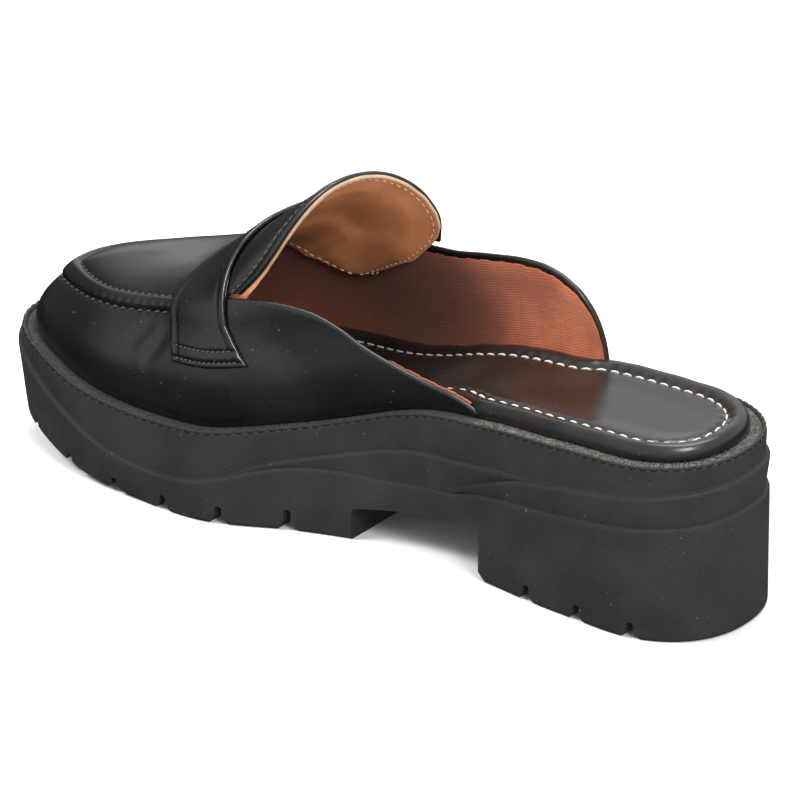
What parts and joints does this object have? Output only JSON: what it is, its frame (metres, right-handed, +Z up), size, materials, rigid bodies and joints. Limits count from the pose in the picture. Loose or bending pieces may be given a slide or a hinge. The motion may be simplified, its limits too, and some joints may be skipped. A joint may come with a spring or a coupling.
{
  "type": "backless platform loafer clog",
  "caption": "Backless platform loafer clog for the right foot: raised apron seam, saddle strap, standing tongue, padded footbed, lugged sole with a block heel",
  "frame": {"origin": "on the ground, under the middle of the bounding box", "axes": "+X to the toe along the sole, +Y to the inner (medial) side, +Z up"},
  "size_m": [0.262, 0.0954, 0.1018],
  "materials": {
    "outsole": "matt charcoal moulded sole with fine ribs",
    "footbed": "smooth black leather over padding, off-white stitch line",
    "upper": "smooth semi-gloss black leather",
    "strap": "smooth semi-gloss black leather",
    "tongue": "smooth black leather outside, tan leather inside"
  },
  "bodies": {
    "root": {"outsole": "outsole", "footbed": "footbed", "upper": "upper", "strap": "strap", "tongue": "tongue"}
  },
  "joints": []
}
